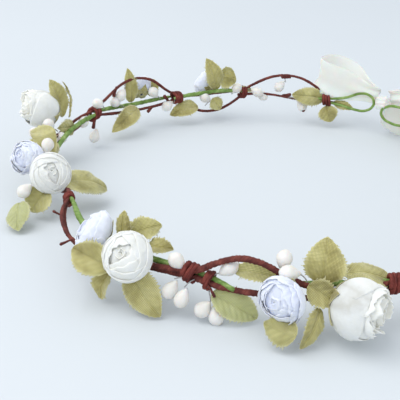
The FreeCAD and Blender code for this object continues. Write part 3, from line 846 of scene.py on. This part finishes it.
# Layers of petals from the outside in:
# (share of the radius, share of the height, petals, span and closing in radians, frill, curl of the rim).
CLOSED_LAYERS = (
    (1.000, 1.000, 3, 2.7, 2.06, 0.45, 0.010),
    (0.975, 0.990, 3, 2.7, 2.42, 0.55, 0.012),
    (0.950, 0.978, 3, 2.6, 2.68, 0.65, 0.016),
    (0.925, 0.965, 2, 3.6, 2.90, 0.75, 0.020),
)
OPEN_LAYERS = (
    (1.000, 1.000, 3, 2.9, 2.16, 0.35, 0.004),
    (0.970, 0.990, 2, 3.4, 2.28, 0.45, 0.008),
    (0.840, 1.160, 3, 2.5, 2.14, 1.3, 0.070),
    (0.740, 1.150, 3, 2.5, 2.22, 1.4, 0.060),
    (0.620, 1.120, 3, 2.6, 2.26, 1.4, 0.050),
    (0.480, 1.080, 2, 3.4, 2.26, 1.4, 0.050),
)
CRUMPLED_LAYERS = (
    (1.000, 1.000, 4, 2.1, 1.96, 1.4, 0.040),
    (0.955, 0.990, 3, 2.5, 2.30, 1.5, 0.040),
    (0.910, 0.975, 3, 2.5, 2.56, 1.4, 0.035),
    (0.840, 0.955, 2, 3.4, 2.72, 1.3, 0.035),
)
# Rolled hearts: (share of the radius, turns, frill).
CLOSED_HEART = (0.26, 1.3, 0.9)
OPEN_HEART = (0.42, 1.9, 1.2)
CRUMPLED_HEART = (0.42, 1.5, 1.1)
# The way that every mouth leans, and how much each next layer and the middle follow it.
MOUTH_LEAN = np.array((-0.75, 0.0, 0.65))
LAYER_LEAN = 0.04
MIDDLE_LEAN = 0.12
PETAL_THICKNESS = 0.13 * MM


def rose(node, material, slot, layers, heart, seed):
    """A paper rose of wrapped petals round a rolled heart; its mouth leans a little to one side."""
    base, mouth, diameter = rose_frame(node)
    axis = unit(mouth - base)
    height = np.linalg.norm(mouth - base)
    radius = diameter / 2
    lean = MOUTH_LEAN - axis * (axis @ MOUTH_LEAN)
    build, rims = Build(), []
    spin = seed * 0.9
    for layer, (size, tall, count, span, close, frill, lip) in enumerate(layers):
        tilted = unit(axis + lean * LAYER_LEAN * layer)
        for number in range(count):
            spin += TURN / count + 0.17
            points, flat, rim = petal_points(
                radius * size, height * tall, spin, span, close, frill, lip,
                seed * 31 + layer * 5 + number, seed)
            build.grid(turned_to(points, base, tilted, 0.0), flat=flat)
            rims.append(rim)
    width, turns, frill = heart
    tilted = unit(axis + lean * MIDDLE_LEAN)
    points, flat, rim = core_points(radius * 0.86, height * 0.90, seed, frill)
    build.grid(turned_to(points, base, tilted, 0.0), closed=True, flat=flat)
    rims.append(rim)
    points, flat, rim = heart_points(radius * width, height * 0.985, height * 0.88, turns, seed + 7, frill)
    build.grid(turned_to(points, base, tilted, seed), flat=flat)
    rims.append(rim)
    obj = build.piece(node + "_paper", material, slot, [node], thickness=PETAL_THICKNESS)
    point_values(obj, "rim", joined_flat(rims))


SEPALS = 5


def sepal_points(radius, height, turn, phase):
    """One pointed sepal that lies against the bowl of a rose."""
    u = np.linspace(0, 1, 16)[:, None]
    v = np.linspace(-1, 1, 15)[None, :]
    sweep = 0.05 + 0.95 * u
    wide, high = bowl(radius, height, sweep)
    spread = 0.55 * np.sin(math.pi * u ** 0.7) ** 0.8 * (1 - 0.5 * u) / np.maximum(np.sin(sweep), 0.25) * 0.6
    angle = turn + v * spread
    wide = wide + 0.25 * MM + 0.2 * MM * np.sin(9 * u + phase)
    points = polar(wide, angle, high - 0.25 * MM)
    return points, joined(u * height, v * 3 * MM), np.abs(v) + 0 * u


def sepals():
    """The cloth sepals cupped under each rose, in one piece."""
    build, rims = Build(), []
    for seed, node in enumerate(nodes_called("rose")):
        base, mouth, diameter = rose_frame(node)
        axis = unit(mouth - base)
        height = np.linalg.norm(mouth - base)
        for number in range(SEPALS):
            turn = number * TURN / SEPALS + seed
            points, flat, rim = sepal_points(diameter / 2 * 1.02, height, turn, number + seed)
            build.grid(turned_to(points, base, axis, 0.0), flat=flat)
            rims.append(rim)
    obj = build.piece("rose_sepals", LEAF, "leaf_cloth", [], thickness=LEAF_THICKNESS)
    point_values(obj, "rim", joined_flat(rims))


OPEN_ROSES = ("rose_cream_right_front", "rose_cream_left_side", "rose_cream_right_side")


def roses():
    """All the roses: smooth closed cream ones, a few that open, and crumpled white ones."""
    for seed, node in enumerate(nodes_called("rose"), 1):
        if node in OPEN_ROSES:
            rose(node, CREAM, "rose_cream", OPEN_LAYERS, OPEN_HEART, seed)
        elif "cream" in node:
            rose(node, CREAM, "rose_cream", CLOSED_LAYERS, CLOSED_HEART, seed)
        else:
            rose(node, WHITE, "rose_white", CRUMPLED_LAYERS, CRUMPLED_HEART, seed)


# -------------------- buds

def bud_points(stem, end, diameter, seed):
    """A drop-shaped bud, a little lopsided."""
    t = np.linspace(0, 1, 30)[:, None]
    angle = np.linspace(0, TURN, 26, endpoint=False)[None, :]
    length = np.linalg.norm(end - stem)
    profile = np.sin(math.pi * t ** 1.22) ** 0.62 * (0.55 + 0.45 * t) ** 0.35
    radius = diameter / 2 * np.maximum(profile, 0.10 * (1 - t)) / 0.985
    radius = radius * (1 + 0.07 * lumps(polar(1, angle, 2 * t), 1.1, seed))
    points = polar(radius, angle, t * length)
    points[-1] = [0, 0, length]
    return turned_to(points, stem, unit(end - stem), seed)


# A thinner solid of a bud group is a wire.
LEAST_BUD_RADIUS = 1.2 * MM
WIRE_RADIUS = 0.19 * MM


def bud_wire(first, last, seed):
    """The skin of a thin wire, bent a little upwards between its ends."""
    t = np.linspace(-0.05, 1.05, 12)
    length = np.linalg.norm(last - first)
    bend = np.array([0, 0, 1]) * length * 0.10
    line = first + t[:, None] * (last - first) + np.sin(math.pi * t)[:, None] * bend
    size = np.full(len(t), WIRE_RADIUS)
    return tube_points(line, twisted_paper(line, t * length, size, seed, pitch=0.8 * MM), 10)


def buds():
    """The buds of each group, and their thin wires as one piece of all groups."""
    wires = Build()
    for number, node in enumerate(nodes_called("buds")):
        build = Build()
        for count, (points, _) in enumerate(solids_of(node)):
            first, last = long_ends(points)
            axis = unit(last - first)
            across = points - first - ((points - first) @ axis)[:, None] * axis
            radius = np.linalg.norm(across, axis=1).max()
            if radius > LEAST_BUD_RADIUS:
                stem, end = slender_frame(points, 0.12, wide_last=True)
                build.grid(bud_points(stem, end, 2 * radius, number * 10 + count), closed=True)
            else:
                wires.grid(bud_wire(first, last, count), closed=True)
        build.piece(node + "_pearl", PEARL, "bud_pearl", [node])
    wires.piece("bud_wires", WIRE, "bud_pearl", [])


# -------------------- ribbon

RIBBON_THICKNESS = 0.12 * MM
# The ribbon in a loop, in lengths of the loop's reach.
LOOP_RIBBON = 2.12


def knot_box():
    """(middle, half size) of the CAD knot."""
    low, high = (np.array(corner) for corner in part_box("ribbon_knot"))
    return (low + high) / 2, (high - low) / 2


def loop_frame(node):
    """(start, reach along, width across, depth direction) of a CAD ribbon loop beside the knot."""
    points, _ = mesh_arrays(node)
    middle = points.mean(axis=0)
    _, axes = np.linalg.eigh(np.cov((points - middle).T))
    spreads = [np.std(np.abs((points - middle) @ axes[:, column])) for column in range(3)]
    across = axes[:, int(np.argmin(spreads[1:])) + 1]
    depth = axes[:, 0]
    axis = np.cross(across, depth)
    if (middle - knot_box()[0]) @ axis < 0:
        axis = -axis
    reach = (points - middle) @ axis
    start = middle + axis * reach.min()
    return start, axis * np.ptp(reach), across * np.ptp(points @ across), depth * np.ptp(points @ depth)


def ribbon_loop(node, seed):
    """A bow loop: one length of ribbon out from the knot, round and back, gathered at the knot."""
    start, reach, across, depth = loop_frame(node)
    s = np.linspace(0, 1, 100)[:, None]
    w = np.linspace(-0.5, 0.5, 30)[None, :]
    out = np.sin(math.pi * s) ** 0.80
    sway = 0.5 * np.sin(TURN * s)
    near = np.clip(np.minimum(s, 1 - s) * 6.4, 0, 1)
    gather = 0.50 + 0.50 * eased(near) - 0.16 * np.exp(-((s - 0.5) / 0.15) ** 2)
    pleat = np.sin(w * 2 * TURN + seed) * (1 - gather) * 0.10
    soft = lumps(joined(s * 2.4, w * 1.4, 0), 0.9, seed)
    points = (start + (out * (1 + 0.03 * soft) * 0.98)[..., None] * reach
              + (w * gather)[..., None] * across
              + (sway + pleat + 0.12 * soft * out)[..., None] * depth)
    build = Build()
    length = LOOP_RIBBON * np.linalg.norm(reach)
    width = np.linalg.norm(across)
    build.grid(points, flat=joined(w * width, s * length))
    obj = build.piece(node + "_satin", SATIN, "ribbon_satin", [node], thickness=RIBBON_THICKNESS)


def ribbon_knot():
    """The ribbon drawn tight round the middle, in fine gathers."""
    middle, size = knot_box()
    t = np.linspace(-1, 1, 26)[:, None]
    angle = np.linspace(0, TURN, 96, endpoint=False)[None, :]
    pinch = 1 - 0.30 * (1 - t ** 2)
    gathers = 1 + 0.07 * np.sin(angle * 11 + 1.5 * t) + 0.03 * np.sin(angle * 23)
    soft = 1 + 0.08 * lumps(polar(1, angle, t), 0.9, 4)
    close = np.sqrt(np.clip(1 - np.abs(t) ** 6, 0.02, 1))
    y = size[1] * pinch * gathers * soft * close * np.cos(angle)
    z = size[2] * pinch * gathers * soft * close * np.sin(angle)
    build = Build()
    build.grid(joined(middle[0] + size[0] * t, middle[1] + y, middle[2] + z), closed=True)
    build.piece("ribbon_knot_satin", SATIN, "ribbon_satin", ["ribbon_knot"])


TAIL_PIECES = ("ribbon_tail_short_satin", "ribbon_tail_long_satin")


def tail_line(points, knot):
    """The route of a CAD tail along its lower edge, from the knot outwards."""
    foot = points[points[:, 2] < points[:, 2].min() + 0.1 * MM]
    route = []
    while len(foot):
        near = route[-1] if route else knot
        first = foot[np.argmin(np.linalg.norm(foot - near, axis=1))]
        pair = np.linalg.norm(foot - first, axis=1) < 1.2 * MM
        route.append(foot[pair].mean(axis=0))
        foot = foot[~pair]
    line, _ = resampled(np.array(route), 0.6 * MM)
    return smoothed(line, 120)


def ribbon_tails():
    """The two tails, on edge along the table, each along the route of its CAD solid."""
    for seed, (name, (points, _)) in enumerate(zip(TAIL_PIECES, solids_of("ribbon_tails"))):
        line = tail_line(points, knot_box()[0])
        s = np.linspace(0, 1, len(line))[:, None]
        w = np.linspace(0, 1, 22)[None, :]
        tangent = unit(np.gradient(line, axis=0))
        outward = np.cross(tangent, [0, 0, 1])
        width = np.ptp(points[:, 2])
        length = np.linalg.norm(np.diff(line, axis=0), axis=1).sum()
        soft = lumps(joined(s * 4, w, 0), 1.0, seed + 3)
        lean = (w ** 2 * 2.6 * np.sin(math.pi * s * 1.1) + 1.1 * soft * (0.3 + w)) * MM
        by_knot = np.clip(1 - s * 7, 0, 1) ** 2
        notch = 0.10 * length * (1 - np.abs(2 * w - 1)) * np.clip((s - 0.8) / 0.2, 0, 1)
        points = line[:, None] + lean[..., None] * outward[:, None] - notch[..., None] * tangent[:, None]
        points[..., 2] = 0.35 * MM + width * 0.30 * by_knot + w * width * (1 - 0.45 * by_knot) * 0.985
        build = Build()
        build.grid(points, flat=joined(w * width, s * length))
        obj = build.piece(name, SATIN, "ribbon_satin", ["ribbon_tails"], thickness=RIBBON_THICKNESS)


# -------------------- stage, light and camera

FLOOR_HALF = 40.0
FLOOR_HEIGHT = -0.2 * MM


def stage():
    """A pale floor that runs far behind the crown."""
    side = np.linspace(-FLOOR_HALF, FLOOR_HALF, 9)
    corners = joined(side[:, None], side[None, :], FLOOR_HEIGHT).reshape(-1, 3)
    mesh = bpy.data.meshes.new("floor")
    mesh.from_pydata(corners.tolist(), [], grid_faces(len(side), len(side)).tolist())
    material, tree, surface = shader("floor_pale", 0.85, Specular_IOR_Level=0.2)
    cloud = noise_value(tree, place_in(tree, 1), 3.0, 2)
    painted(tree, surface, ramp(tree, cloud, ((0.3, (0.600, 0.636, 0.665)), (0.7, (0.615, 0.651, 0.680)))))
    mesh.materials.append(material)
    floor = bpy.data.objects.new("floor", mesh)
    bpy.context.scene.collection.objects.link(floor)


SKY_COLOUR = (0.90, 0.945, 1.0, 1)
SKY_STRENGTH = 0.98
# Square lamps that face the crown: (name, place, watts, side, colour).
LAMPS = (
    ("key", (-0.38, -0.50, 1.0), 8.0, 1.1, (1.0, 0.985, 0.96)),
    ("fill", (0.9, -0.9, 0.7), 2.0, 1.2, (0.95, 0.97, 1.0)),
)


def lights():
    """A bright even sky, a large soft key light and a weak fill, shown as plain display colours."""
    bpy.context.scene.view_settings.view_transform = "Standard"
    world = bpy.data.worlds.new("sky")
    bpy.context.scene.world = world
    world.use_nodes = True
    background = world.node_tree.nodes["Background"]
    background.inputs["Color"].default_value = SKY_COLOUR
    background.inputs["Strength"].default_value = SKY_STRENGTH
    for name, place, power, size, colour in LAMPS:
        data = bpy.data.lights.new(name, "AREA")
        data.energy = power
        data.size = size
        data.color = colour
        lamp = bpy.data.objects.new(name, data)
        lamp.location = place
        lamp.rotation_mode = "QUATERNION"
        lamp.rotation_quaternion = (-Vector(place)).to_track_quat("-Z", "Y")
        bpy.context.scene.collection.objects.link(lamp)


# The camera's place about its aim, which is inside the front of the ring.
RING_HEIGHT = 13 * MM
CAMERA_AZIMUTH = math.radians(35.0)
CAMERA_ELEVATION = math.radians(24.56)
CAMERA_ROLL = math.radians(2.34)
CAMERA_DISTANCE = 277.4 * MM
CAMERA_AIM = Vector((-4.1 * MM, -45.0 * MM, RING_HEIGHT))
FOCAL_LENGTH = 73.8
SENSOR_WIDTH = 36


def camera():
    """The camera, close to the front right and looking a little down."""
    data = bpy.data.cameras.new("camera")
    data.sensor_width = SENSOR_WIDTH
    data.lens = FOCAL_LENGTH
    data.clip_start = 0.01
    data.clip_end = 100
    obj = bpy.data.objects.new("camera", data)
    back = Vector((
        math.sin(CAMERA_AZIMUTH) * math.cos(CAMERA_ELEVATION),
        -math.cos(CAMERA_AZIMUTH) * math.cos(CAMERA_ELEVATION),
        math.sin(CAMERA_ELEVATION)))
    obj.location = CAMERA_AIM + back * CAMERA_DISTANCE
    obj.rotation_mode = "QUATERNION"
    obj.rotation_quaternion = (-back).to_track_quat("-Z", "Y") @ Quaternion((0, 0, 1), CAMERA_ROLL)
    bpy.context.scene.collection.objects.link(obj)
    bpy.context.scene.camera = obj


camera()
lights()
stage()
vines()
stems()
eyelets()
bindings()
twigs()
leaves()
roses()
sepals()
buds()
ribbon_knot()
ribbon_loop("ribbon_loop_left", 1)
ribbon_loop("ribbon_loop_right", 2)
ribbon_tails()

bpy.context.view_layer.update()
